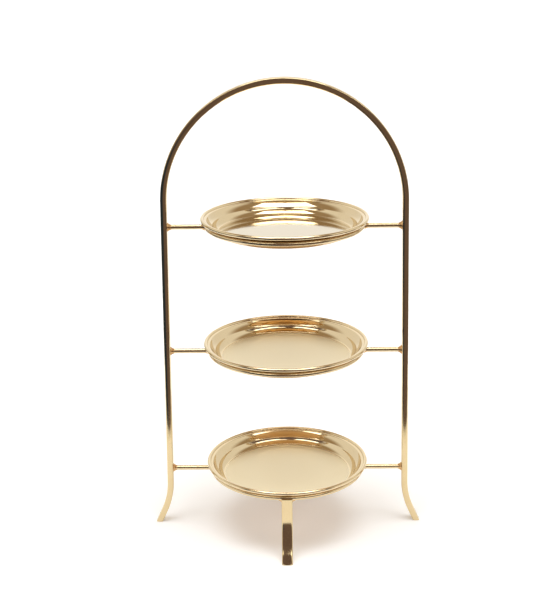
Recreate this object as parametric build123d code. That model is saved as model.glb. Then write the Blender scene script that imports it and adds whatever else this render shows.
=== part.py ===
"""Tiered cake stand: three stepped dishes in three rings on one bent-bar arch.

Millimetres, +Z up.  The origin is on the floor, midway between the feet.  +X runs along the
arch's width and -Y is the front.  A flat bar is bent into an arch with two splayed legs, and
six round rods brazed to the legs carry three wire rings.  A curved foot under the front and
the back of the lowest ring keeps the stand from tipping.  The dishes lift out of the rings.
"""
from build123d import *
import os
from math import atan2, cos, hypot, radians, sin, tan

# Overall sizes
OVERALL_HEIGHT = 463.5       # floor to the top of the arch
ARCH_OUTER_RADIUS = 121.0    # outside of the half-round top
LEG_SPLAY = 0.75             # degrees that each leg leans outwards on its way down

# Flat bar of the arch, its legs and the two centre feet
BAR_WIDTH = 11.0
BAR_THICKNESS = 6.5
BAR_CORNER = 0.9
BROAD_CROWN = 0.25           # rise of the bar's broad faces over their edges
NARROW_CROWN = 0.45          # rise of the bar's narrow faces over their edges

# Feet: where the bar starts to curve outwards, how tightly and how far
SIDE_FLARE_HEIGHT = 45.0
SIDE_FLARE_RADIUS = 80.0
SIDE_FLARE_ANGLE = 24.0
CENTRE_FLARE_HEIGHT = 46.0
CENTRE_FLARE_RADIUS = 70.0
CENTRE_FLARE_ANGLE = 33.0
CENTRE_FOOT_OFFSET = 2.0     # foot's middle plane outside the ring's middle circle

# Tiers
BOTTOM_RIM_HEIGHT = 70.5
TIER_PITCH = 129.0
TIERS = ("bottom", "middle", "top")

# Wire rings and the rods that carry them
RING_WIRE = 4.8
ROD_DIAMETER = 4.8
ROD_DROP = 2.4               # rod's axis below the ring's axis
ROD_LAP = 1.2                # how far a rod reaches in past the ring's middle circle

# Dish, with depths measured down from the top of its rim
RIM_RADIUS = 82.5
BEAD_RADIUS = 1.85           # rolled edge
SHEET = 0.9
LAND_RADIUS = 76.5
LAND_DEPTH = 2.3
STEP_RADIUS = 70.8
STEP_DEPTH = 8.2
BASE_RADIUS = 65.2
BASE_DEPTH = 14.6
UPPER_COVE_BULGE = 0.55
LOWER_COVE_BULGE = 0.9
CREASE_RADIUS = 0.45
BEAD_CURL_END = -120.0       # degrees where the rolled edge stops, just short of the wall
SEAT_GAP = 0.25              # clearance between a dish and its ring

# Brazed joints
LEG_BRAZE_REACH = 3.6        # along the rod
LEG_BRAZE_RISE = 2.2         # out from the rod
RING_BRAZE_REACH = 2.2
RING_BRAZE_RISE = 1.1
FOOT_BRAZE_REACH = 2.6
FOOT_BRAZE_DEPTH = 3.0       # front to back
HOLLOW = 0.3                 # how near a braze's hollow side comes to its corner


def slope(start, end):
    """Angle in radians of the line from start to end."""
    return atan2(end[1] - start[1], end[0] - start[0])


def cove_turn(start, end, bulge):
    """Half of the angle that an arc with this bulge turns through."""
    return 2 * atan2(2 * bulge, hypot(end[0] - start[0], end[1] - start[1]))


def cove_middle(start, end, bulge, thickness=0.0):
    """Middle point of a cove that bulges outwards and down, moved out by a thickness."""
    angle = slope(start, end)
    reach = bulge + thickness
    return (
        (start[0] + end[0]) / 2 + reach * sin(angle),
        (start[1] + end[1]) / 2 - reach * cos(angle),
    )


def under(point, angle_before, angle_after):
    """The point of the sheet's lower face under a corner of its upper face."""
    middle = (angle_before + angle_after) / 2
    reach = SHEET / cos((angle_after - angle_before) / 2)
    return (point[0] + reach * sin(middle), point[1] - reach * cos(middle))


# Corners of the dish's upper face as (radius, height under the rim's top)
BASE_CORNER = (BASE_RADIUS, -BASE_DEPTH)
STEP_CORNER = (STEP_RADIUS, -STEP_DEPTH)
LAND_CORNER = (LAND_RADIUS, -LAND_DEPTH)
BEAD_CENTRE = (RIM_RADIUS - BEAD_RADIUS, -BEAD_RADIUS)
BEAD_FOOT = (RIM_RADIUS - 2 * BEAD_RADIUS, -BEAD_RADIUS)

# A ring's wire touches the upper cove's middle, so the dish sets its radius and depth
SEAT = cove_middle(STEP_CORNER, LAND_CORNER, UPPER_COVE_BULGE, SHEET + SEAT_GAP + RING_WIRE / 2)
RING_RADIUS = SEAT[0]
RING_DEPTH = -SEAT[1]

ARCH_RADIUS = ARCH_OUTER_RADIUS - BAR_THICKNESS / 2
ARCH_CENTRE_HEIGHT = OVERALL_HEIGHT - ARCH_OUTER_RADIUS
CENTRE_FOOT_Y = RING_RADIUS + CENTRE_FOOT_OFFSET
FLOOR_CUT = 20.0             # size of the block that trims the feet flat


def rim_height(tier):
    return BOTTOM_RIM_HEIGHT + TIERS.index(tier) * TIER_PITCH


def ring_height(tier):
    return rim_height(tier) - RING_DEPTH


def rod_height(tier):
    return ring_height(tier) - ROD_DROP


def bead_point(radius, degrees):
    """Point on a circle about the middle of the rolled edge."""
    return (
        BEAD_CENTRE[0] + radius * cos(radians(degrees)),
        BEAD_CENTRE[1] + radius * sin(radians(degrees)),
    )


def dish_section():
    """Half section of a dish: flat base, two coves, a narrow land and a rolled edge."""
    lower_slope = slope(BASE_CORNER, STEP_CORNER)
    lower_turn = cove_turn(BASE_CORNER, STEP_CORNER, LOWER_COVE_BULGE)
    upper_slope = slope(STEP_CORNER, LAND_CORNER)
    upper_turn = cove_turn(STEP_CORNER, LAND_CORNER, UPPER_COVE_BULGE)
    land_slope = slope(LAND_CORNER, BEAD_FOOT)
    base_under = under(BASE_CORNER, 0.0, lower_slope - lower_turn)
    step_under = under(STEP_CORNER, lower_slope + lower_turn, upper_slope - upper_turn)
    land_under = under(LAND_CORNER, upper_slope + upper_turn, land_slope)
    curl_radius = BEAD_RADIUS - SHEET
    curl_middle = (180.0 + BEAD_CURL_END) / 2
    curl_start = bead_point(curl_radius, 180.0)
    bead_under = (curl_start[0], land_under[1] + (curl_start[0] - land_under[0]) * tan(land_slope))
    with BuildSketch(Plane.XZ) as section:
        with BuildLine():
            Polyline((0, -BASE_DEPTH - SHEET), (0, -BASE_DEPTH), BASE_CORNER)
            ThreePointArc(
                BASE_CORNER,
                cove_middle(BASE_CORNER, STEP_CORNER, LOWER_COVE_BULGE),
                STEP_CORNER,
            )
            ThreePointArc(
                STEP_CORNER,
                cove_middle(STEP_CORNER, LAND_CORNER, UPPER_COVE_BULGE),
                LAND_CORNER,
            )
            Line(LAND_CORNER, BEAD_FOOT)
            ThreePointArc(
                BEAD_FOOT,
                bead_point(BEAD_RADIUS, curl_middle),
                bead_point(BEAD_RADIUS, BEAD_CURL_END),
            )
            Line(bead_point(BEAD_RADIUS, BEAD_CURL_END), bead_point(curl_radius, BEAD_CURL_END))
            ThreePointArc(
                bead_point(curl_radius, BEAD_CURL_END),
                bead_point(curl_radius, curl_middle),
                curl_start,
            )
            Polyline(curl_start, bead_under, land_under)
            ThreePointArc(
                land_under,
                cove_middle(STEP_CORNER, LAND_CORNER, UPPER_COVE_BULGE, SHEET),
                step_under,
            )
            ThreePointArc(
                step_under,
                cove_middle(BASE_CORNER, STEP_CORNER, LOWER_COVE_BULGE, SHEET),
                base_under,
            )
            Line(base_under, (0, -BASE_DEPTH - SHEET))
        make_face()
        for corner in (STEP_CORNER, LAND_CORNER):
            creases = section.vertices().filter_by(
                lambda v: hypot(v.X - corner[0], v.Z - corner[1]) < SHEET / 10
            )
            fillet(creases, CREASE_RADIUS)
    return section.sketch


def dish(tier):
    return Pos(0, 0, rim_height(tier)) * revolve(dish_section(), Axis.Z)


def bar_section(plane):
    """Flat bar with soft corners and slightly crowned faces, its thickness along local X."""
    half_thickness = BAR_THICKNESS / 2
    half_width = BAR_WIDTH / 2
    edge_x = half_thickness - BROAD_CROWN
    edge_y = half_width - NARROW_CROWN
    with BuildSketch(plane) as section:
        with BuildLine():
            ThreePointArc((edge_x, -edge_y), (half_thickness, 0), (edge_x, edge_y))
            ThreePointArc((edge_x, edge_y), (0, half_width), (-edge_x, edge_y))
            ThreePointArc((-edge_x, edge_y), (-half_thickness, 0), (-edge_x, -edge_y))
            ThreePointArc((-edge_x, -edge_y), (0, -half_width), (edge_x, -edge_y))
        make_face()
        fillet(section.vertices(), BAR_CORNER)
    return section.sketch


def flare(start, splay, radius, angle):
    """Corners of a foot's curve, as (out, up): its start, middle, end and a point past the floor."""
    lean = radians(splay)
    final = radians(angle)
    half = (lean + final) / 2
    centre = (start[0] + radius * cos(lean), start[1] + radius * sin(lean))
    middle = (centre[0] - radius * cos(half), centre[1] - radius * sin(half))
    end = (centre[0] - radius * cos(final), centre[1] - radius * sin(final))
    drop = end[1] + BAR_THICKNESS
    tip = (end[0] + drop * tan(final), end[1] - drop)
    return start, middle, end, tip


def leg_corners():
    """Corners of the right leg's middle line, from the arch down, as (x, z)."""
    lean = radians(LEG_SPLAY)
    arch_end = (ARCH_RADIUS * cos(lean), ARCH_CENTRE_HEIGHT + ARCH_RADIUS * sin(lean))
    run = arch_end[1] - SIDE_FLARE_HEIGHT
    knee = (arch_end[0] + run * tan(lean), SIDE_FLARE_HEIGHT)
    return (arch_end, *flare(knee, LEG_SPLAY, SIDE_FLARE_RADIUS, SIDE_FLARE_ANGLE))


def above_floor(shape):
    """Cut a foot off level with the floor."""
    reach = 2 * (ARCH_OUTER_RADIUS + OVERALL_HEIGHT)
    return shape - Pos(0, 0, -FLOOR_CUT) * Box(
        reach, reach, FLOOR_CUT, align=(Align.CENTER, Align.CENTER, Align.MIN)
    )


def arch_frame():
    """One bar: half-round arch, two splayed legs and two feet that curve outwards."""
    right = [(x, 0, z) for x, z in leg_corners()]
    left = [(-x, 0, z) for x, z in leg_corners()]
    with BuildLine() as path:
        Line(left[4], left[3])
        ThreePointArc(left[3], left[2], left[1])
        Line(left[1], left[0])
        ThreePointArc(left[0], (0, 0, ARCH_CENTRE_HEIGHT + ARCH_RADIUS), right[0])
        Line(right[0], right[1])
        ThreePointArc(right[1], right[2], right[3])
        Line(right[3], right[4])
    start = Plane(origin=path.line @ 0, x_dir=(path.line % 0).cross(Vector(0, 1, 0)), z_dir=path.line % 0)
    return above_floor(sweep(bar_section(start), path=path.line))


def centre_foot(front):
    """Foot under the lowest ring: upright at the top, curving outwards to the floor."""
    side = -1 if front else 1
    knee = (CENTRE_FOOT_Y, CENTRE_FLARE_HEIGHT)
    corners = flare(knee, 0.0, CENTRE_FLARE_RADIUS, CENTRE_FLARE_ANGLE)
    start, middle, end, tip = [(0, side * out, up) for out, up in corners]
    with BuildLine() as path:
        Line((0, side * CENTRE_FOOT_Y, ring_height("bottom")), start)
        ThreePointArc(start, middle, end)
        Line(end, tip)
    top = Plane(origin=path.line @ 0, x_dir=(0, side, 0), z_dir=path.line % 0)
    return above_floor(sweep(bar_section(top), path=path.line)) - ring("bottom")


def ring(tier):
    return Pos(0, 0, ring_height(tier)) * Torus(RING_RADIUS, RING_WIRE / 2)


def leg_middle(height):
    """Half of the distance between the legs' middle lines at a height."""
    return ARCH_RADIUS + (ARCH_CENTRE_HEIGHT - height) * tan(radians(LEG_SPLAY))


def on_side(solid, side):
    """A solid made on the right, or its mirror image on the left."""
    return solid if side > 0 else mirror(solid, about=Plane.YZ)


def rod(tier, side, frame):
    """Round rod from the leg's inner face to just past the underside of the ring's wire."""
    inner = RING_RADIUS - ROD_LAP
    outer = leg_middle(rod_height(tier))
    bar = Rot(0, 90, 0) * Cylinder(ROD_DIAMETER / 2, outer - inner)
    placed = Pos((inner + outer) / 2, 0, rod_height(tier)) * bar
    return on_side(placed, side) - frame - ring(tier)


def collar(tier, side, root, shoulder, reach, rise):
    """Hollow-sided braze round a rod, full height from root to shoulder, then thinning out."""
    radius = ROD_DIAMETER / 2
    tip = shoulder + reach
    hollow = (shoulder + reach * HOLLOW, radius + rise * HOLLOW)
    with BuildSketch(Plane.XZ) as section:
        with BuildLine():
            Polyline((tip, radius), (root, radius), (root, radius + rise), (shoulder, radius + rise))
            ThreePointArc((shoulder, radius + rise), hollow, (tip, radius))
        make_face()
    solid = revolve(section.sketch, Axis.X)
    return on_side(Pos(0, 0, rod_height(tier)) * solid, side)


def leg_braze(tier, side, frame):
    """Braze where a rod meets a leg's inner face."""
    middle = leg_middle(rod_height(tier))
    face = middle - BAR_THICKNESS / 2
    return collar(tier, side, middle, face, -LEG_BRAZE_REACH, LEG_BRAZE_RISE) - frame


def ring_braze(tier, side):
    """Braze where a rod meets the outside of a ring's wire."""
    face = RING_RADIUS + RING_WIRE / 2
    root = RING_RADIUS + RING_WIRE / 4
    return collar(tier, side, root, face, RING_BRAZE_REACH, RING_BRAZE_RISE) - ring(tier)


def foot_braze(front, foot):
    """Two small webs of braze under the wire, one on each side of a centre foot."""
    top = ring_height("bottom")
    base = top - RING_WIRE / 2
    edge = BAR_WIDTH / 2
    webs = []
    for side in (-1, 1):
        with BuildSketch(Plane.XZ) as section:
            with BuildLine():
                outer = (side * (edge + FOOT_BRAZE_REACH), base)
                lower = (side * edge, base - FOOT_BRAZE_REACH)
                hollow = (side * (edge + FOOT_BRAZE_REACH * HOLLOW), base - FOOT_BRAZE_REACH * HOLLOW)
                Polyline(lower, (0, lower[1]), (0, top), (outer[0], top), outer)
                ThreePointArc(outer, hollow, lower)
            make_face()
        web = extrude(section.sketch, FOOT_BRAZE_DEPTH / 2, both=True)
        y = RING_RADIUS if not front else -RING_RADIUS
        webs.append(Pos(0, y, 0) * web - foot - ring("bottom"))
    return webs


def build():
    """Every piece of the stand, by node name."""
    frame = arch_frame()
    nodes = {"arch_frame": frame}
    for tier in TIERS:
        nodes[f"ring_{tier}"] = ring(tier)
        nodes[f"dish_{tier}"] = dish(tier)
        for name, side in (("left", -1), ("right", 1)):
            nodes[f"rod_{tier}_{name}"] = rod(tier, side, frame)
            nodes[f"leg_braze_{tier}_{name}"] = leg_braze(tier, side, frame)
            nodes[f"ring_braze_{tier}_{name}"] = ring_braze(tier, side)
    for name, front in (("front", True), ("rear", False)):
        foot = centre_foot(front)
        nodes[f"foot_{name}"] = foot
        nodes[f"foot_braze_{name}"] = foot_braze(front, foot)
    return nodes


os.makedirs("parts", exist_ok=True)
for node, shape in build().items():
    export_step(Compound(children=list(shape)) if isinstance(shape, list) else shape, f"parts/{node}.step")
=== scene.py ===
"""Looks of a tiered cake stand: polished brass pieces, soft studio light and a camera.

Metres, in the frame's own axes: +Z up, -Y the front.  Each piece is a surface worked out as whole
arrays, and it replaces its plain solid on the same body.  Only the brazes at the tops of the two
centre feet keep their plain solids.
"""
from math import atan2, cos, hypot, pi, radians, sin, tan

import bmesh
import bpy
import numpy as np
from bpy.props import FloatProperty, FloatVectorProperty, PointerProperty
from mathutils import Matrix, Vector


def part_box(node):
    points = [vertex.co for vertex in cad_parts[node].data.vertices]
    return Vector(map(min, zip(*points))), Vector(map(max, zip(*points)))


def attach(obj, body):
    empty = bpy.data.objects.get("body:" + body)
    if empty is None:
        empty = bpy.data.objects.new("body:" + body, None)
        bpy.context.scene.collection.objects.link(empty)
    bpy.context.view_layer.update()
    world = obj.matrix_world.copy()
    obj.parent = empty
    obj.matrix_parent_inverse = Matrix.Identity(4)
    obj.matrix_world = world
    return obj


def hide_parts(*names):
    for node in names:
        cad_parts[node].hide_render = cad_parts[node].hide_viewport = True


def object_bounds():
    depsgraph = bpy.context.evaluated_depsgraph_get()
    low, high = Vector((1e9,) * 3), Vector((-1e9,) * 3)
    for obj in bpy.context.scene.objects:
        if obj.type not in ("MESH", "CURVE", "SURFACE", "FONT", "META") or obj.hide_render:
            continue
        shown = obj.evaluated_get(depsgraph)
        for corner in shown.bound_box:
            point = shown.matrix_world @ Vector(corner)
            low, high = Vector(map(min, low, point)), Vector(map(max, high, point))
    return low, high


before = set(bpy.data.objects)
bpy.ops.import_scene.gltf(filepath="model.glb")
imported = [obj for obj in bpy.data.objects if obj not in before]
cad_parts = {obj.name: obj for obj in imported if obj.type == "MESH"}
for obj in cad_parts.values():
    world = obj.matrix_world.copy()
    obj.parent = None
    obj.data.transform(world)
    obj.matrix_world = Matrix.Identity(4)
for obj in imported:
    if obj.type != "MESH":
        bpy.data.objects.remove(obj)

bl_info = {
    "name": "Tiered Cake Stand",
    "version": (1, 0, 0),
    "blender": (4, 5, 0),
    "location": "View3D > Sidebar > Cake Stand",
    "description": "Builds a brass cake stand with three lift-out dishes, and its studio",
    "category": "Add Mesh",
}

CAD_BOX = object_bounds()
MM = 0.001
TIERS = ("bottom", "middle", "top")
SIDES = {"left": -1, "right": 1}
ENDS = {"front": -1, "rear": 1}

# Fineness of the surfaces
DISH_TURNS = 288
RING_TURNS = 256
WIRE_POINTS = 28
ROD_POINTS = 40
ROD_STATIONS = 5
BRAZE_STATIONS = 13
COVE_POINTS = 14
BEAD_POINTS = 30
CURVE_STEP = radians(1.2)
CORNER_POINTS = 6
FACE_POINTS = 7
SAME_POINT = 1e-7
SHARP_EDGE = radians(40)

# Sockets of a Mix node that blends colours
MIX_FACTOR, MIX_FIRST, MIX_SECOND, MIX_RESULT = 0, 6, 7, 2

# Polishing lines per metre, across the lines and along them
BAR_LINES = (5200.0, 60.0)
RING_LINES = (3000.0, 40.0)
ROD_LINES = (3000.0, 60.0)
DISH_LINES = (3000.0, 20.0)

# Noise features per metre
HAND_PATCHES = 38.0
HAND_SMEARS = 420.0
BRAZE_GRAIN = 900.0
BRAZE_PATCHES = 240.0
PAPER_FIBRES = 900.0

# How strongly a height shows, and the height of the grain on a braze
LINE_STRENGTH = 0.15
BRAZE_STRENGTH = 0.6
BRAZE_GRAIN_HEIGHT = 0.00002

# Angle by which each braze's waves are turned on from those of the one before
BRAZE_TURN = 1.7

# Camera: its lens, sensor and place in millimetres, its near and far limits in metres, its turns
CAMERA_LENS = 77.04
CAMERA_SENSOR = 36.0
CAMERA_PLACE = (9.61, -1218.89, 632.17)
CAMERA_LIMITS = (0.05, 100.0)
CAMERA_YAW = radians(-0.99)
CAMERA_PITCH = radians(-17.74)
CAMERA_ROLL = radians(-0.77)


def length(name, description, millimetres):
    return FloatProperty(name=name, description=description, default=millimetres * MM, unit="LENGTH")


def angle(name, description, degrees):
    return FloatProperty(name=name, description=description, default=radians(degrees), subtype="ANGLE")


def share(name, description, value):
    return FloatProperty(name=name, description=description, default=value, min=0, max=1, subtype="FACTOR")


def amount(name, description, value):
    return FloatProperty(name=name, description=description, default=value)


def colour(name, description, value):
    return FloatVectorProperty(name=name, description=description, default=value, size=3, subtype="COLOR")


class BarSizes(bpy.types.PropertyGroup):
    """The flat bar of the arch and the feet."""

    arch_radius: length("Arch radius", "Middle of the bar over the half-round top", 117.75)
    splay: angle("Leg splay", "How far each leg leans outwards", 0.75)
    width: length("Bar width", "Front to back on the arch", 11)
    thickness: length("Bar thickness", "Seen from the front on the arch", 6.5)
    corner: length("Bar corner", "Rounding of the bar's long corners", 0.9)
    broad_crown: length("Broad crown", "Rise of the broad faces over their edges", 0.25)
    narrow_crown: length("Narrow crown", "Rise of the narrow faces over their edges", 0.45)
    side_flare_height: length("Side flare height", "Where a leg starts to curve out", 45)
    side_flare_radius: length("Side flare radius", "Curve of a leg's foot", 80)
    side_flare: angle("Side flare", "Final lean of a leg's foot", 24)
    centre_flare_height: length("Centre flare height", "Where a centre foot starts to curve out", 46)
    centre_flare_radius: length("Centre flare radius", "Curve of a centre foot", 70)
    centre_flare: angle("Centre flare", "Final lean of a centre foot", 33)
    centre_offset: length("Centre foot offset", "Foot's middle outside the ring's middle circle", 2)
    sole_bevel: length("Sole bevel", "Softening of the sole's edge", 0.3)


class WireSizes(bpy.types.PropertyGroup):
    """The wire rings, the rods and their brazes."""

    ring_wire: length("Ring wire", "Diameter of a ring's wire", 4.8)
    rod: length("Rod", "Diameter of a rod", 4.8)
    sink: length("Sink", "How far a rod's end runs into what it is brazed to", 1.2)
    leg_braze_reach: length("Leg braze reach", "Along the rod", 3.6)
    leg_braze_rise: length("Leg braze rise", "Out from the rod", 2.2)
    ring_braze_reach: length("Ring braze reach", "Along the rod", 2.2)
    ring_braze_rise: length("Ring braze rise", "Out from the rod", 1.1)
    hollow: share("Hollow", "How near a braze's hollow side comes to its corner", 0.3)
    unevenness: length("Unevenness", "How far a braze strays from round", 0.12)


class DishSizes(bpy.types.PropertyGroup):
    """The dish's section, with depths under the top of its rim."""

    rim_radius: length("Rim radius", "Outside of the rolled edge", 82.5)
    bead_radius: length("Bead radius", "Rolled edge", 1.85)
    sheet: length("Sheet", "Thickness of the metal", 0.9)
    land_radius: length("Land radius", "Top of the upper cove", 76.5)
    land_depth: length("Land depth", "Under the rim", 2.3)
    step_radius: length("Step radius", "Ridge between the coves", 70.8)
    step_depth: length("Step depth", "Under the rim", 8.2)
    base_radius: length("Base radius", "Edge of the flat base", 65.2)
    base_depth: length("Base depth", "Under the rim", 14.6)
    upper_bulge: length("Upper bulge", "Depth of the upper cove", 0.55)
    lower_bulge: length("Lower bulge", "Depth of the lower cove", 0.9)
    crease: length("Crease", "Softening of the ridges", 0.35)
    base_crease: length("Base crease", "Softening of the base's edge", 0.6)
    curl_end: angle("Curl end", "Where the rolled edge stops", -120)
    seat_gap: length("Seat gap", "Between a dish and its ring", 0.25)


class MetalLook(bpy.types.PropertyGroup):
    """Colours and polish of the brass."""

    bar: colour("Bar", "Colour of the flat bar", (0.73, 0.59, 0.35))
    wire: colour("Wire", "Colour of the rings and rods", (0.76, 0.62, 0.39))
    dish: colour("Dish", "Colour of the dishes' walls", (0.83, 0.69, 0.45))
    mirror_base: colour("Top base", "Colour of the top dish's base", (0.76, 0.68, 0.53))
    satin_base: colour("Lower bases", "Colour of the other dishes' bases", (0.95, 0.84, 0.58))
    # Painted shade: a darker, browner colour laid on the dishes' undersides and the lower curl of the rolled
    # edge
    under: colour("Underside", "Colour of the dishes' browner undersides", (0.62, 0.40, 0.20))
    braze: colour("Braze", "Colour of the brazed joints", (0.72, 0.50, 0.26))
    polish: share("Polish", "Roughness of the mirror faces", 0.07)
    wire_polish: share("Wire polish", "Roughness of the rings and rods", 0.16)
    top_base: share("Top base", "Roughness of the top dish's base", 0.05)
    haze: share("Haze", "How much of the lower bases' look is their soft haze", 0.42)
    lower_base: share("Lower bases", "Roughness of the other dishes' bases", 0.32)
    braze_polish: share("Braze polish", "Roughness of the brazed joints", 0.2)
    wear: share("Wear", "How much handling dulls the polish", 0.05)
    line_depth: length("Line depth", "Height of the finest polishing lines", 0.002)


class StudioLook(bpy.types.PropertyGroup):
    """The paper, the white tent round the stand, the lamps and the dark room in front."""

    floor: colour("Floor", "Colour of the paper that the stand is on", (0.955, 0.968, 0.98))
    seen: colour("Backdrop", "What the eye sees behind the stand", (1.0, 1.0, 1.0))
    back: colour("Back", "Light straight behind the stand", (1.08, 1.06, 1.03))
    tent: colour("Tent", "Light of the tent's sides", (0.86, 0.82, 0.76))
    ceiling: colour("Ceiling", "Light of the ceiling round the lamp", (0.36, 0.26, 0.16))
    room: colour("Room", "Light of the room in front", (0.16, 0.112, 0.10))
    corner: colour("Dark corner", "Light of the floor ahead on the left", (0.022, 0.036, 0.058))
    lamp: colour("Lamp", "Light of the lamp overhead", (4.9, 5.0, 5.1))
    lamp_width: amount("Lamp width", "Half of the overhead lamp's width, as a share of its distance", 0.40)
    strip: colour("Strip lights", "Light of the two strips in front", (2.9, 2.85, 2.7))
    strip_spread: angle("Strip spread", "How far the strips reach to either side", 60)
    strip_low: angle("Strip bottom", "Height of the strips' lower edge", 31)
    strip_high: angle("Strip top", "Height of the strips' upper edge", 41)
    glow: share("Paper glow", "Light that the paper lets through from below", 0.14)
    paper_side: length("Paper side", "How far the paper reaches to either side", 620)
    paper_edge: length("Paper edge", "How far the paper reaches in front of the middle", 240)
    paper_reach: length("Paper reach", "How far the floor runs the other ways", 30000)


# Outlines


def bow(start, end, bulge, count=COVE_POINTS):
    """Arc from start to end.

    With chord c and bulge b its radius is r = (c^2 / 4 + b^2) / 2b, and a point at the angle t from
    the middle is r sin t along the chord and r cos t - (r - b) to the right of it.
    """
    start, end = np.array(start), np.array(end)
    chord = np.hypot(*(end - start))
    along = (end - start) / chord
    right = np.array([along[1], -along[0]])
    radius = (chord**2 / 4 + bulge**2) / (2 * bulge)
    turn = 2 * atan2(2 * bulge, chord)
    t = np.linspace(-turn, turn, count)[:, None]
    return start + (chord / 2 + radius * np.sin(t)) * along + (radius * np.cos(t) - radius + bulge) * right


def circle_part(centre, radius, first, last, count=BEAD_POINTS):
    """Part of a circle: centre + radius (cos t, sin t) from the first angle to the last."""
    t = np.linspace(first, last, count)[:, None]
    return np.array(centre) + radius * np.hstack([np.cos(t), np.sin(t)])


def straight(start, end, count):
    """Straight run whose points crowd towards its end: 1 - (1 - t)^2 of the way at each t."""
    t = np.linspace(0, 1, count)[:, None]
    return np.array(start) + (1 - (1 - t) ** 2) * (np.array(end) - np.array(start))


def shortened(run, head, tail):
    """A run with a length taken off each end, with as many points, by distance along it."""
    steps = np.hypot(*np.diff(run, axis=0).T)
    distance = np.concatenate([[0], np.cumsum(steps)])
    kept = head + distance / distance[-1] * (distance[-1] - head - tail)
    return np.stack([np.interp(kept, distance, run[:, axis]) for axis in (0, 1)], axis=1)


def outline(runs, reaches, closed=False):
    """Runs joined end to end, each corner c softened by the curve (1-t)^2 a + 2t(1-t) c + t^2 b.

    a and b lie a reach away from the corner on either side of it.
    """
    heads = [reaches[-1] if closed else 0, *reaches[: len(runs) - 1]]
    tails = [*reaches[: len(runs) - 1], reaches[-1] if closed else 0]
    cut = [shortened(run, head, tail) for run, head, tail in zip(runs, heads, tails)]
    t = np.linspace(0, 1, CORNER_POINTS)[1:-1, None]
    parts = []
    for place, run in enumerate(cut):
        parts.append(run)
        if place < len(cut) - 1 or closed:
            after = cut[(place + 1) % len(cut)][0]
            corner = runs[place][-1]
            if tails[place] > 0:
                parts.append((1 - t) ** 2 * run[-1] + 2 * t * (1 - t) * corner + t**2 * after)
    points = np.concatenate(parts)
    keep = np.hypot(*(points - np.roll(points, 1, axis=0)).T) > SAME_POINT
    keep[0] = True
    return points[keep]


# Meshes


def surface(name, grid, endless=False, caps=True, facts=None):
    """Mesh over a grid of points, rows along the piece and columns closed around it.

    An endless one joins its last row to its first.  Caps close the ends of any other, unless they
    already meet in a point.  A fact is a vector for each point, stored under its own name.
    """
    rows, columns = grid.shape[:2]
    index = np.arange(rows * columns).reshape(rows, columns)
    wrapped = np.hstack([index, index[:, :1]])
    wrapped = np.vstack([wrapped, wrapped[:1]]) if endless else wrapped
    corners = (wrapped[:-1, :-1], wrapped[:-1, 1:], wrapped[1:, 1:], wrapped[1:, :-1])
    faces = np.stack(corners, axis=-1).reshape(-1, 4).tolist()
    if caps and not endless:
        faces += [index[0, ::-1].tolist(), index[-1].tolist()]
    mesh = bpy.data.meshes.new(name)
    mesh.from_pydata(grid.reshape(-1, 3), [], faces)
    for fact, values in (facts or {}).items():
        stored = mesh.attributes.new(fact, "FLOAT_VECTOR", "POINT")
        stored.data.foreach_set("vector", np.asarray(values, np.float32).ravel())
    return mesh


def tidy(mesh):
    """Joins doubled points, turns every face outwards and smooths all but the sharp edges."""
    work = bmesh.new()
    work.from_mesh(mesh)
    bmesh.ops.remove_doubles(work, verts=work.verts, dist=SAME_POINT)
    bmesh.ops.recalc_face_normals(work, faces=work.faces)
    work.to_mesh(mesh)
    work.free()
    mesh.shade_smooth()
    mesh.set_sharp_from_angle(angle=SHARP_EDGE)
    return mesh


def lathe(outline_points, height, turns):
    """Surface of revolution: each outline point (r, z) becomes (r cos t, r sin t, height + z)."""
    t = np.arange(turns) / turns * 2 * pi
    r, z = outline_points[:, :1], outline_points[:, 1:]
    return np.stack([r * np.cos(t), r * np.sin(t), height + z + 0 * t], axis=-1)


def bent_line(start, heading, moves):
    """Stations of a line made of straight runs and arcs, as points and headings.

    A move is (length, turn).  On an arc of radius R = length / turn, a point at the share t of it is
    R (sin(h + turn t) - sin h) further along x and R (cos h - cos(h + turn t)) along y.
    """
    points, headings = [np.array([start])], [np.array([heading])]
    place = np.array(start, float)
    for distance, turn in moves:
        count = max(2, int(abs(turn) / CURVE_STEP) + 1)
        t = np.linspace(0, 1, count)[1:]
        now = heading + turn * t
        if turn:
            radius = distance / turn
            offset = radius * np.stack([np.sin(now) - sin(heading), cos(heading) - np.cos(now)], axis=1)
        else:
            offset = distance * t[:, None] * np.array([[cos(heading), sin(heading)]])
        points.append(place + offset)
        headings.append(now)
        place = place + offset[-1]
        heading = heading + turn
    return np.concatenate(points), np.concatenate(headings)


def carried(section, points, headings):
    """Section carried along a flat line: p + a n + b w, n the line's normal in its plane.

    Returns points as (out, up, across), and a fact for each: its place on the section and the
    distance along the line.
    """
    normal = np.stack([-np.sin(headings), np.cos(headings)], axis=1)
    a, b = section[:, 0], section[:, 1]
    flat = points[:, None, :] + a[None, :, None] * normal[:, None, :]
    across = np.broadcast_to(b, flat.shape[:2])[..., None]
    along = np.concatenate([[0], np.cumsum(np.hypot(*np.diff(points, axis=0).T))])
    fact = np.stack(np.broadcast_arrays(a[None, :], b[None, :], along[:, None]), axis=-1)
    return np.concatenate([flat, across], axis=-1), fact


def cut_level(grid, heading, bevel):
    """The last row slid along the line to the floor, with the one before it just above the floor."""
    direction = np.array([cos(heading), sin(heading), 0.0])
    level = grid[-1] - direction * (grid[-1, :, 1:2] / direction[1])
    raised = level - direction * (bevel / abs(direction[1]))
    middle = level.mean(axis=0)
    inset = middle + (level - middle) * (1 - 2 * bevel / np.ptp(level, axis=0).max())
    return np.concatenate([grid[:-1], raised[None], inset[None]])


# Materials


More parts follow.
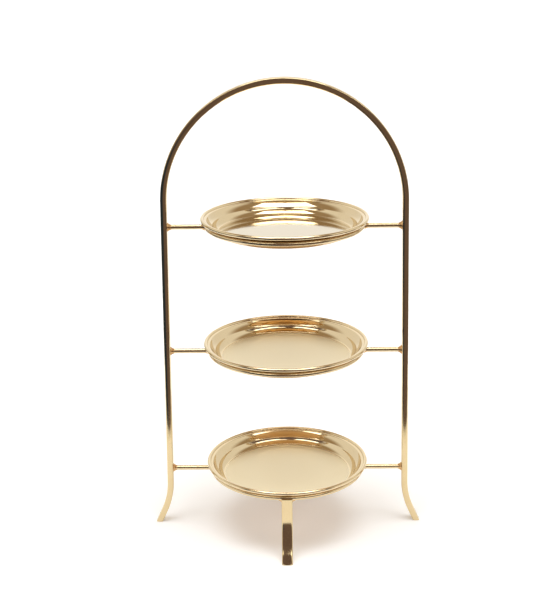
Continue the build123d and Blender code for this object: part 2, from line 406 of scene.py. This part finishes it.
class Signal:
    """A number that varies over a surface.  Arithmetic on it adds Math nodes."""

    def __init__(self, graph, socket):
        self.graph = graph
        self.socket = socket

    def math(self, operation, first, second=None):
        inputs = {0: first} if second is None else {0: first, 1: second}
        return self.graph.signal("ShaderNodeMath", {"operation": operation}, inputs)

    def __add__(self, other):
        return self.math("ADD", self, other)

    def __radd__(self, other):
        return self.math("ADD", other, self)

    def __sub__(self, other):
        return self.math("SUBTRACT", self, other)

    def __rsub__(self, other):
        return self.math("SUBTRACT", other, self)

    def __mul__(self, other):
        return self.math("MULTIPLY", self, other)

    def __rmul__(self, other):
        return self.math("MULTIPLY", other, self)

    def power(self, other):
        return self.math("POWER", self, other)

    def arcsine(self):
        return self.math("ARCSINE", self)

    def bearing(self, ahead):
        """Angle of the direction with this much to the right and the other number ahead."""
        return self.math("ARCTAN2", self, ahead)

    def largest(self, other):
        return self.math("MAXIMUM", self, other)

    def step(self, low, high):
        """0 below low and 1 above high, with a soft edge between them."""
        settings = {"interpolation_type": "SMOOTHSTEP"}
        inputs = {"Value": self, "From Min": low, "From Max": high}
        return self.graph.signal("ShaderNodeMapRange", settings, inputs)

    def between(self, low, high, soft):
        """1 between low and high and 0 outside, with edges as wide as soft."""
        half = soft / 2
        return self.step(low - half, low + half) * (1 - self.step(high - half, high + half))


class Graph:
    """Nodes of one material or of the world."""

    def __init__(self, tree):
        self.tree = tree
        tree.nodes.clear()

    def node(self, kind, settings=None, inputs=None):
        made = self.tree.nodes.new(kind)
        for key, value in (settings or {}).items():
            setattr(made, key, value)
        for key, value in (inputs or {}).items():
            if isinstance(value, Signal):
                self.tree.links.new(value.socket, made.inputs[key])
            else:
                made.inputs[key].default_value = value
        return made

    def signal(self, kind, settings=None, inputs=None, output=0):
        return Signal(self, self.node(kind, settings, inputs).outputs[output])

    def split(self, vector):
        node = self.node("ShaderNodeSeparateXYZ", None, {0: vector})
        return [Signal(self, node.outputs[axis]) for axis in range(3)]

    def join(self, x, y, z):
        return self.signal("ShaderNodeCombineXYZ", None, {0: x, 1: y, 2: z})

    def noise(self, vector, scale, detail):
        inputs = {"Vector": vector, "Scale": scale, "Detail": detail}
        return self.signal("ShaderNodeTexNoise", None, inputs)

    def blend(self, share_of_second, first, second):
        inputs = {MIX_FACTOR: share_of_second, MIX_FIRST: first, MIX_SECOND: second}
        return self.signal("ShaderNodeMix", {"data_type": "RGBA"}, inputs, MIX_RESULT)

    def stored(self, fact):
        """The three numbers that a piece's points carry under this name."""
        return self.split(self.signal("ShaderNodeAttribute", {"attribute_name": fact}, None, "Vector"))


def opaque(rgb):
    return (*rgb, 1.0)


def brass(name, build):
    """Polished metal whose varying parts come from build(graph).

    It gives the colour, how metallic and how rough the metal is, and a height and its strength.
    """
    material = bpy.data.materials.new(name)
    material.use_nodes = True
    graph = Graph(material.node_tree)
    tone, metallic, roughness, height, strength = build(graph)
    bump = graph.signal("ShaderNodeBump", None, {"Strength": strength, "Distance": 1.0, "Height": height})
    inputs = {"Base Color": tone, "Metallic": metallic, "Roughness": roughness, "Normal": bump}
    shader = graph.signal("ShaderNodeBsdfPrincipled", None, inputs)
    graph.node("ShaderNodeOutputMaterial", None, {"Surface": shader})
    return material


def object_place(graph):
    return graph.signal("ShaderNodeTexCoord", None, None, "Object")


def handling(graph, place):
    """Soft patches where hands have dulled the polish, from 0 to 1."""
    broad = graph.noise(place, HAND_PATCHES, 3.0)
    fine = graph.noise(place, HAND_SMEARS, 4.0)
    return (broad * 0.7 + fine * 0.3).step(0.42, 0.68)


def drawn_metal(name, tone, polish, lines_from, look):
    """Metal polished in one direction: lines_from(graph, place) gives the stretched place of its lines."""

    def build(graph):
        place = object_place(graph)
        worn = handling(graph, place)
        lines = graph.noise(lines_from(graph, place), 1.0, 3.0)
        darker = opaque([0.93 * tone[0], 0.90 * tone[1], 0.84 * tone[2]])
        metal = graph.blend(worn * 0.45 + lines * 0.25, opaque(tone), darker)
        roughness = polish + worn * look.wear + lines * 0.03
        return metal, 1.0, roughness, lines * look.line_depth, LINE_STRENGTH

    return brass(name, build)


def bar_material(look):
    def lines(graph, place):
        thick, wide, distance = graph.stored("bar_place")
        across, along = BAR_LINES
        return graph.join(thick * across, wide * across, distance * along)

    return drawn_metal("polished_bar", look.bar, look.polish, lines, look)


def ring_material(look):
    def lines(graph, place):
        x, y, z = graph.split(place)
        radius = (x * x + y * y).power(0.5)
        across, along = RING_LINES
        return graph.join(radius * across, z * across, x * along + y * along)

    return drawn_metal("satin_ring", look.wire, look.wire_polish, lines, look)


def rod_material(look):
    def lines(graph, place):
        x, y, z = graph.split(place)
        across, along = ROD_LINES
        return graph.join(x * along, y * across, z * across)

    return drawn_metal("satin_rod", look.wire, look.wire_polish, lines, look)


def braze_material(look):
    """Filler metal that was filed and buffed, a little redder and duller than the brass."""

    def build(graph):
        place = object_place(graph)
        grain = graph.noise(place, BRAZE_GRAIN, 5.0)
        patches = graph.noise(place, BRAZE_PATCHES, 3.0).step(0.4, 0.65)
        red = opaque([0.95 * look.braze[0], 0.80 * look.braze[1], 0.70 * look.braze[2]])
        tone = graph.blend(patches * 0.6, opaque(look.braze), red)
        roughness = look.braze_polish + grain * 0.12
        return tone, 1.0, roughness, grain * BRAZE_GRAIN_HEIGHT, BRAZE_STRENGTH

    return brass("buffed_braze", build)


def dish_material(name, look, sizes, base, base_roughness, haze):
    """Spun dish: mirror walls with round polishing lines, and a base with its own finish.

    The base's finish fades out just inside its edge, and the underside is painted a darker, browner colour
    as painted shade.
    """

    def build(graph):
        place = object_place(graph)
        x, y, z = graph.split(place)
        radius = (x * x + y * y).power(0.5)
        edge = sizes.base_radius - sizes.base_crease
        on_base = 1 - radius.step(edge - 1.2 * MM, edge + 0.2 * MM)
        across, along = DISH_LINES
        turned = graph.noise(graph.join(radius * across, z * across, x * along + y * along), 1.0, 2.0)
        worn = handling(graph, place)
        darker = opaque([0.94 * look.dish[0], 0.91 * look.dish[1], 0.85 * look.dish[2]])
        wall = graph.blend(worn * 0.4 + turned * 0.2, opaque(look.dish), darker)
        grain = opaque([0.97 * base[0], 0.96 * base[1], 0.94 * base[2]])
        floor = graph.blend(turned, opaque(base), grain)
        # Painted shade: the underside and the lower curl of the rolled edge get the darker, browner under
        # colour
        lower = graph.stored("painted_shade_underside")[0]
        tone = graph.blend(lower, graph.blend(on_base, wall, floor), opaque(look.under))
        finish = look.polish + on_base * (base_roughness - look.polish)
        roughness = finish + worn * look.wear * 0.6 + turned * 0.02
        return tone, 1 - on_base * haze, roughness, turned * look.line_depth, LINE_STRENGTH

    return brass(name, build)


# Pieces


def placed(name, mesh, material, body, slot, *nodes):
    """Object for a finished mesh, on its body, standing for its plain solids."""
    piece = bpy.data.objects.new(name, mesh)
    bpy.context.scene.collection.objects.link(piece)
    mesh.materials.append(material)
    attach(piece, body)
    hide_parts(*nodes)


def middle_height(node):
    """Height of a node's middle."""
    low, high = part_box(node)
    return (low.z + high.z) / 2


def bar_outline(sizes):
    """Flat bar: four crowned faces and rounded corners, its thickness along the first axis."""
    thick, wide = sizes.thickness / 2, sizes.width / 2
    x, y = thick - sizes.broad_crown, wide - sizes.narrow_crown
    runs = [
        bow((x, -y), (x, y), sizes.broad_crown, FACE_POINTS),
        bow((x, y), (-x, y), sizes.narrow_crown, FACE_POINTS),
        bow((-x, y), (-x, -y), sizes.broad_crown, FACE_POINTS),
        bow((-x, -y), (x, -y), sizes.narrow_crown, FACE_POINTS),
    ]
    return outline(runs, [sizes.corner] * 4, closed=True)


def foot_moves(start_height, heading, flare_height, flare_radius, flare):
    """Moves from a start height down to the floor: straight, then a curve outwards, then straight.

    Between the headings h and g a curve of radius R comes down R |cos h - cos g|.
    """
    final = -pi / 2 + flare
    run = (start_height - flare_height) / -sin(heading)
    drop = abs(flare_radius * (cos(heading) - cos(final)))
    rest = (flare_height - drop) / -sin(final)
    return [(run, 0.0), (flare_radius * (final - heading), final - heading), (rest, 0.0)]


def arch_grid(sizes, height):
    """Bar carried over the half-round top and down both legs, from the left sole to the right.

    The right half is worked out, and the left half is its mirror image.
    """
    top = height - sizes.thickness / 2
    lean = -pi / 2 + sizes.splay
    arch_end = top - sizes.arch_radius + sizes.arch_radius * sin(sizes.splay)
    down = foot_moves(arch_end, lean, sizes.side_flare_height, sizes.side_flare_radius, sizes.side_flare)
    moves = [(-sizes.arch_radius * lean, lean), *down]
    points, headings = bent_line((0.0, top), 0.0, moves)
    right, fact = carried(bar_outline(sizes), points, headings)
    right = cut_level(right, headings[-1], sizes.sole_bevel)
    fact = np.concatenate([fact, fact[-1:]])
    left = right[:0:-1] * np.array([-1, 1, 1])
    left_fact = fact[:0:-1] * np.array([1, 1, -1])
    return np.concatenate([left, right]), np.concatenate([left_fact, fact])


def build_arch(stand):
    flat, fact = arch_grid(stand.bar, CAD_BOX[1].z)
    grid = flat[..., [0, 2, 1]]
    mesh = tidy(surface("arch_frame", grid, facts={"bar_place": fact}))
    placed("arch", mesh, bar_material(stand.metal), "frame", "bar", "arch_frame")


def build_centre_feet(stand):
    sizes = stand.bar
    material = bar_material(stand.metal)
    start, down = middle_height("ring_bottom"), -pi / 2
    out = ring_radius(stand) + sizes.centre_offset
    moves = foot_moves(start, down, sizes.centre_flare_height, sizes.centre_flare_radius, sizes.centre_flare)
    points, headings = bent_line((out, start), down, moves)
    flat, fact = carried(bar_outline(sizes), points, headings)
    flat = cut_level(flat, headings[-1], sizes.sole_bevel)
    fact = np.concatenate([fact, fact[-1:]])
    for end, side in ENDS.items():
        grid = flat[..., [2, 0, 1]] * np.array([1, side, 1])
        mesh = tidy(surface(f"foot_{end}", grid, facts={"bar_place": fact}))
        placed(f"centre_foot_{end}", mesh, material, "frame", "bar", f"foot_{end}")


def slope(start, end):
    return atan2(end[1] - start[1], end[0] - start[0])


def cove_middle(start, end, reach):
    """Middle of a cove that stands a reach outwards and down from its chord."""
    lean = slope(start, end)
    return ((start[0] + end[0]) / 2 + reach * sin(lean), (start[1] + end[1]) / 2 - reach * cos(lean))


def cove_turn(start, end, bulge):
    """Angle between a cove's chord and its curve at either end: 2 atan(2 bulge / chord)."""
    return 2 * atan2(2 * bulge, hypot(end[0] - start[0], end[1] - start[1]))


def seat(stand):
    """Middle of a ring's wire, as a radius and a height under the rim: it nests in the upper cove."""
    sizes = stand.dish
    step = (sizes.step_radius, -sizes.step_depth)
    land = (sizes.land_radius, -sizes.land_depth)
    reach = sizes.upper_bulge + sizes.sheet + sizes.seat_gap + stand.wire.ring_wire / 2
    return cove_middle(step, land, reach)


def ring_radius(stand):
    return seat(stand)[0]


def rim_height(stand, tier):
    return middle_height(f"ring_{tier}") - seat(stand)[1]


def rod_height(tier, side):
    """Height of a rod's middle, from its plain solid's lowest point and depth."""
    low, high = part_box(f"rod_{tier}_{side}")
    return low.z + (high.y - low.y) / 2


def under(point, before, after, sheet):
    """Point of the sheet's lower face under a corner of its upper face, from the slopes beside it."""
    middle = (before + after) / 2
    reach = sheet / cos((after - before) / 2)
    return (point[0] + reach * sin(middle), point[1] - reach * cos(middle))


def dish_outline(sizes):
    """Dish's section from the middle of its upper face, over the rolled edge, to the middle below."""
    sheet = sizes.sheet
    base = (sizes.base_radius, -sizes.base_depth)
    step = (sizes.step_radius, -sizes.step_depth)
    land = (sizes.land_radius, -sizes.land_depth)
    bead = (sizes.rim_radius - sizes.bead_radius, -sizes.bead_radius)
    bead_foot = (bead[0] - sizes.bead_radius, bead[1])
    lower, lower_turn = slope(base, step), cove_turn(base, step, sizes.lower_bulge)
    upper, upper_turn = slope(step, land), cove_turn(step, land, sizes.upper_bulge)
    level = slope(land, bead_foot)
    base_under = under(base, 0.0, lower - lower_turn, sheet)
    step_under = under(step, lower + lower_turn, upper - upper_turn, sheet)
    land_under = under(land, upper + upper_turn, level, sheet)
    curl = sizes.bead_radius - sheet
    outer = circle_part(bead, sizes.bead_radius, pi, sizes.curl_end)
    inner = circle_part(bead, curl, sizes.curl_end, pi)
    start = (bead[0] - curl, bead[1])
    bead_under = (start[0], land_under[1] + (start[0] - land_under[0]) * tan(level))
    upper_rise = under_bulge(land_under, step_under, step, land, sizes.upper_bulge, sheet)
    lower_rise = under_bulge(step_under, base_under, base, step, sizes.lower_bulge, sheet)
    runs = [
        straight((0, base[1]), base, 16),
        bow(base, step, sizes.lower_bulge),
        bow(step, land, sizes.upper_bulge),
        straight(land, bead_foot, 4),
        outer,
        straight(outer[-1], inner[0], 3),
        inner,
        straight(start, bead_under, 3),
        straight(bead_under, land_under, 4),
        bow(land_under, step_under, -upper_rise),
        bow(step_under, base_under, -lower_rise),
        straight(base_under, (0, base[1] - sheet), 4),
    ]
    soft = sizes.crease
    reaches = [sizes.base_crease, soft, soft, soft / 2, sheet / 4, sheet / 4, 0, soft / 2, soft, soft, soft]
    return outline(runs, reaches)


def under_bulge(first, last, start, end, bulge, sheet):
    """Bulge of a cove's lower face, from its own ends and the middle of the sheet's lower face."""
    middle = cove_middle(start, end, bulge + sheet)
    return hypot(middle[0] - (first[0] + last[0]) / 2, middle[1] - (first[1] + last[1]) / 2)


def build_dishes(stand):
    sizes = stand.dish
    look = stand.metal
    mirror = dish_material("spun_dish_mirror", look, sizes, look.mirror_base, look.top_base, 0.0)
    satin = dish_material("spun_dish_satin", look, sizes, look.satin_base, look.lower_base, look.haze)
    section = dish_outline(sizes)
    # Marks the underside, from just past the rolled edge's outermost point, for the painted shade colour
    lower = np.arange(len(section)) > np.argmax(section[:, 0]) + 0.4 * BEAD_POINTS
    side = np.repeat(np.outer(lower, [1.0, 0.0, 0.0]), DISH_TURNS, axis=0)
    for tier in TIERS:
        material = mirror if tier == "top" else satin
        grid = lathe(section, rim_height(stand, tier), DISH_TURNS)
        mesh = tidy(surface(f"dish_{tier}", grid, caps=False, facts={"painted_shade_underside": side}))
        placed(f"spun_dish_{tier}", mesh, material, f"{tier}_dish", "dish", f"dish_{tier}")


def build_rings(stand):
    """Torus: a circle of the wire's radius carried round the ring's middle circle."""
    material = ring_material(stand.metal)
    wire = circle_part((ring_radius(stand), 0), stand.wire.ring_wire / 2, 0, 2 * pi, WIRE_POINTS + 1)[:-1]
    for tier in TIERS:
        grid = lathe(wire, middle_height(f"ring_{tier}"), RING_TURNS)
        mesh = tidy(surface(f"ring_{tier}", grid, endless=True))
        placed(f"wire_ring_{tier}", mesh, material, "frame", "wire", f"ring_{tier}")


def about_x(radii, stations, height):
    """Turned surface about a level line along X: (x, r cos t, height + r sin t)."""
    t = np.arange(ROD_POINTS) / ROD_POINTS * 2 * pi
    x = np.asarray(stations)[:, None] + 0 * t
    return np.stack([x, radii * np.cos(t), height + radii * np.sin(t)], axis=-1)


def build_rods(stand):
    sizes = stand.wire
    material = rod_material(stand.metal)
    for tier in TIERS:
        for name, side in SIDES.items():
            low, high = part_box(f"rod_{tier}_{name}")
            ends = np.array([low.x, high.x]) if side > 0 else np.array([high.x, low.x])
            ends = ends + side * np.array([0.0, sizes.sink])
            stations = ends[0] + (ends[1] - ends[0]) * np.linspace(0, 1, ROD_STATIONS)
            radii = np.full((ROD_STATIONS, 1), sizes.rod / 2)
            grid = about_x(radii, stations, rod_height(tier, name))
            mesh = tidy(surface(f"rod_{tier}_{name}", grid))
            placed(f"round_rod_{tier}_{name}", mesh, material, "frame", "wire", f"rod_{tier}_{name}")


def braze_grid(sizes, face, away, reach, rise, height, phase):
    """Hollow-sided collar round a rod, slightly out of round.

    Its radius falls from the rod's plus the rise at the face to the rod's at the tip, as the curve
    rise (1-t)^2 + 2 t (1-t) hollow rise, and a few slow waves round the rod make it uneven.  It runs
    a reach away from the face, and its root is sunk behind the face.
    """
    t = np.linspace(0, 1, BRAZE_STATIONS)
    swell = rise * ((1 - t) ** 2 + 2 * t * (1 - t) * sizes.hollow)
    swell = np.concatenate([[rise], swell])[:, None]
    stations = np.concatenate([[face - away * sizes.sink], face + away * reach * t])
    turn = np.arange(ROD_POINTS) / ROD_POINTS * 2 * pi
    waves = np.sin(2 * turn + phase)
    waves = waves + 0.6 * np.sin(3 * turn + 2.3 * phase) + 0.3 * np.sin(5 * turn + 4.1 * phase)
    radii = sizes.rod / 2 + swell + sizes.unevenness * waves * swell / rise
    return about_x(radii, stations, height)


def leg_face(sizes, tier, name):
    """How far out a leg's face is where a braze spreads over it."""
    low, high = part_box(f"leg_braze_{tier}_{name}")
    return max(abs(low.x), abs(high.x)) - sizes.leg_braze_rise * 0.1


def build_brazes(stand):
    sizes = stand.wire
    material = braze_material(stand.metal)
    ring_face = ring_radius(stand) + sizes.ring_wire / 2
    phase = 0.0
    for tier in TIERS:
        for name, side in SIDES.items():
            joints = (
                ("leg", leg_face(sizes, tier, name), -side, sizes.leg_braze_reach, sizes.leg_braze_rise),
                ("ring", ring_face, side, sizes.ring_braze_reach, sizes.ring_braze_rise),
            )
            for end, out, away, reach, rise in joints:
                phase += BRAZE_TURN
                node = f"{end}_braze_{tier}_{name}"
                grid = braze_grid(sizes, side * out, away, reach, rise, rod_height(tier, name), phase)
                piece = f"{end}_joint_{tier}_{name}"
                placed(piece, tidy(surface(node, grid)), material, "frame", "braze", node)
    for end in ENDS:
        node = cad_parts[f"foot_braze_{end}"]
        node.data.materials.clear()
        node.data.materials.append(material)


# Studio


def rises(signal, low, high):
    """0 below one angle and 1 above the other, both in degrees."""
    return signal.step(radians(low), radians(high))


def covers(signal, low, high, soft):
    """1 between two angles in degrees and 0 outside, with edges this many degrees wide."""
    return signal.between(radians(low), radians(high), radians(soft))


def build_world(look):
    """White tent behind and beside the stand, and a brown ceiling and a dark room in front.

    Bearings are measured from the front, positive to the right, and heights from level.  One lamp
    hangs overhead with a notch at its front, and two strip lights stand in the room with a dark gap
    between them and a shade over their inner lower parts.  The eye sees only the plain backdrop.
    """
    world = bpy.data.worlds.new("studio")
    bpy.context.scene.world = world
    world.use_nodes = True
    graph = Graph(world.node_tree)
    x, y, z = graph.split(graph.signal("ShaderNodeTexCoord", None, None, "Generated"))
    height = z.arcsine()
    bearing = x.bearing(y * -1.0)
    behind = y.step(0, 0.1) * (1 - (x * x).step(0.03, 0.2))
    tent = graph.blend(behind, opaque(look.tent), opaque(look.back))
    left = (1 - rises(bearing, -16, -4)) * (1 - rises(height, -6, 2))
    room = graph.blend(left, opaque(look.room), opaque(look.corner))
    below = covers(bearing, -156, 112, 20) * (1 - rises(height, -5, 1))
    in_front = below.largest(covers(bearing, -66, 66, 12))
    walls = graph.blend(in_front, tent, room)
    upper = graph.blend(rises(height, 36, 52), walls, opaque(look.ceiling))
    notch = covers(bearing, -6, 2, 2) * (1 - rises(height, 73, 74))
    lamp_across = x.between(-look.lamp_width, look.lamp_width, 0.03)
    lamp_deep = y.between(-0.36, 0.13, 0.04)
    overhead = lamp_across * lamp_deep * z.step(0.5, 0.6)
    lit = graph.blend(overhead * (1 - notch), upper, opaque(look.lamp))
    shade = covers(bearing, -17, 14, 2) * (1 - rises(height, 36.5, 38))
    gap = covers(bearing, -14, 1, 2)
    spread = bearing.between(-look.strip_spread, look.strip_spread, radians(3))
    band = height.between(look.strip_low, look.strip_high, radians(2))
    strips = spread * (1 - gap) * (1 - shade) * band
    light = graph.blend(strips, lit, opaque(look.strip))
    eye = graph.signal("ShaderNodeLightPath", None, None, "Is Camera Ray")
    view = graph.blend(eye, light, opaque(look.seen))
    background = graph.signal("ShaderNodeBackground", None, {"Color": view, "Strength": 1.0})
    graph.node("ShaderNodeOutputWorld", None, {"Surface": background})


def floor_part(name, x_low, x_high, y_low, y_high, material):
    """Level rectangle of the floor."""
    mesh = bpy.data.meshes.new(name)
    corners = [(x_low, y_low, 0), (x_high, y_low, 0), (x_high, y_high, 0), (x_low, y_high, 0)]
    mesh.from_pydata(corners, [], [(0, 1, 2, 3)])
    mesh.materials.append(material)
    part = bpy.data.objects.new(name, mesh)
    bpy.context.scene.collection.objects.link(part)
    return part


def build_floor(look):
    """Pale paper under the stand, and a floor past its front and side edges that only the eye sees."""
    material = bpy.data.materials.new("paper")
    material.use_nodes = True
    graph = Graph(material.node_tree)
    fibre = graph.noise(object_place(graph), PAPER_FIBRES, 3.0)
    inputs = {
        "Base Color": opaque(look.floor),
        "Roughness": 0.75 + fibre * 0.1,
        "Emission Color": opaque(look.seen),
        "Emission Strength": look.glow,
    }
    shader = graph.signal("ShaderNodeBsdfPrincipled", None, inputs)
    graph.node("ShaderNodeOutputMaterial", None, {"Surface": shader})
    reach, side, edge = look.paper_reach, look.paper_side, -look.paper_edge
    floor_part("paper", -side, side, edge, reach, material)
    beyond = (
        floor_part("floor_front", -reach, reach, -reach, edge, material),
        floor_part("floor_left", -reach, -side, edge, reach, material),
        floor_part("floor_right", side, reach, edge, reach, material),
    )
    for part in beyond:
        part.visible_glossy = False
        part.visible_diffuse = False


def build_camera():
    data = bpy.data.cameras.new("camera")
    data.lens = CAMERA_LENS
    data.sensor_width = CAMERA_SENSOR
    data.clip_start, data.clip_end = CAMERA_LIMITS
    camera = bpy.data.objects.new("camera", data)
    bpy.context.scene.collection.objects.link(camera)
    yaw = Matrix.Rotation(-CAMERA_YAW, 4, "Z")
    pitch = Matrix.Rotation(pi / 2 + CAMERA_PITCH, 4, "X")
    roll = Matrix.Rotation(CAMERA_ROLL, 4, "Z")
    camera.matrix_world = Matrix.Translation(Vector(CAMERA_PLACE) * MM) @ yaw @ pitch @ roll
    bpy.context.scene.camera = camera


class CakeStand(bpy.types.PropertyGroup):
    """Everything that a user may change."""

    bar: PointerProperty(type=BarSizes, name="Bar", description="Flat bar")
    wire: PointerProperty(type=WireSizes, name="Wire", description="Rings, rods and brazes")
    dish: PointerProperty(type=DishSizes, name="Dish", description="Dish section")
    metal: PointerProperty(type=MetalLook, name="Metal", description="Colours and polish")
    studio: PointerProperty(type=StudioLook, name="Studio", description="Floor and light")


class CAKESTAND_OT_arch(bpy.types.Operator):
    """Bend the flat bar into the arch, the legs and the side feet"""

    bl_idname = "cakestand.arch"
    bl_label = "Arch and Legs"
    bl_options = {"REGISTER", "UNDO"}

    def execute(self, context):
        build_arch(context.scene.cake_stand)
        return {"FINISHED"}


class CAKESTAND_OT_centre_feet(bpy.types.Operator):
    """Curve the front and the rear foot under the lowest ring"""

    bl_idname = "cakestand.centre_feet"
    bl_label = "Centre Feet"
    bl_options = {"REGISTER", "UNDO"}

    def execute(self, context):
        build_centre_feet(context.scene.cake_stand)
        return {"FINISHED"}


class CAKESTAND_OT_rings(bpy.types.Operator):
    """Form the wire rings that hold the dishes"""

    bl_idname = "cakestand.rings"
    bl_label = "Wire Rings"
    bl_options = {"REGISTER", "UNDO"}

    def execute(self, context):
        build_rings(context.scene.cake_stand)
        return {"FINISHED"}


class CAKESTAND_OT_rods(bpy.types.Operator):
    """Set the round rods between the legs and the rings"""

    bl_idname = "cakestand.rods"
    bl_label = "Rods"
    bl_options = {"REGISTER", "UNDO"}

    def execute(self, context):
        build_rods(context.scene.cake_stand)
        return {"FINISHED"}


class CAKESTAND_OT_brazes(bpy.types.Operator):
    """Run the filler metal round the joints"""

    bl_idname = "cakestand.brazes"
    bl_label = "Brazed Joints"
    bl_options = {"REGISTER", "UNDO"}

    def execute(self, context):
        build_brazes(context.scene.cake_stand)
        return {"FINISHED"}


class CAKESTAND_OT_dishes(bpy.types.Operator):
    """Spin the stepped dishes and lay them in their rings"""

    bl_idname = "cakestand.dishes"
    bl_label = "Dishes"
    bl_options = {"REGISTER", "UNDO"}

    def execute(self, context):
        build_dishes(context.scene.cake_stand)
        return {"FINISHED"}


class CAKESTAND_OT_stage(bpy.types.Operator):
    """Set up the floor, the light and the camera"""

    bl_idname = "cakestand.stage"
    bl_label = "Studio"
    bl_options = {"REGISTER", "UNDO"}

    def execute(self, context):
        look = context.scene.cake_stand.studio
        build_world(look)
        build_floor(look)
        build_camera()
        context.scene.view_settings.view_transform = "Standard"
        return {"FINISHED"}


OPERATORS = (
    CAKESTAND_OT_arch,
    CAKESTAND_OT_centre_feet,
    CAKESTAND_OT_rings,
    CAKESTAND_OT_rods,
    CAKESTAND_OT_brazes,
    CAKESTAND_OT_dishes,
    CAKESTAND_OT_stage,
)


class CAKESTAND_PT_panel(bpy.types.Panel):
    """Sidebar panel with one button for each group of pieces"""

    bl_label = "Cake Stand"
    bl_space_type = "VIEW_3D"
    bl_region_type = "UI"
    bl_category = "Cake Stand"

    def draw(self, context):
        for operator in OPERATORS:
            self.layout.operator(operator.bl_idname)
        for group in ("bar", "wire", "dish", "metal", "studio"):
            box = self.layout.box()
            settings = getattr(context.scene.cake_stand, group)
            for name in settings.__annotations__:
                box.prop(settings, name)


CLASSES = (BarSizes, WireSizes, DishSizes, MetalLook, StudioLook, CakeStand, *OPERATORS, CAKESTAND_PT_panel)


def register():
    for item in CLASSES:
        bpy.utils.register_class(item)
    bpy.types.Scene.cake_stand = PointerProperty(type=CakeStand)


def unregister():
    del bpy.types.Scene.cake_stand
    for item in reversed(CLASSES):
        bpy.utils.unregister_class(item)


def main():
    register()
    for operator in OPERATORS:
        group, name = operator.bl_idname.split(".")
        getattr(getattr(bpy.ops, group), name)()


if __name__ == "__main__":
    main()
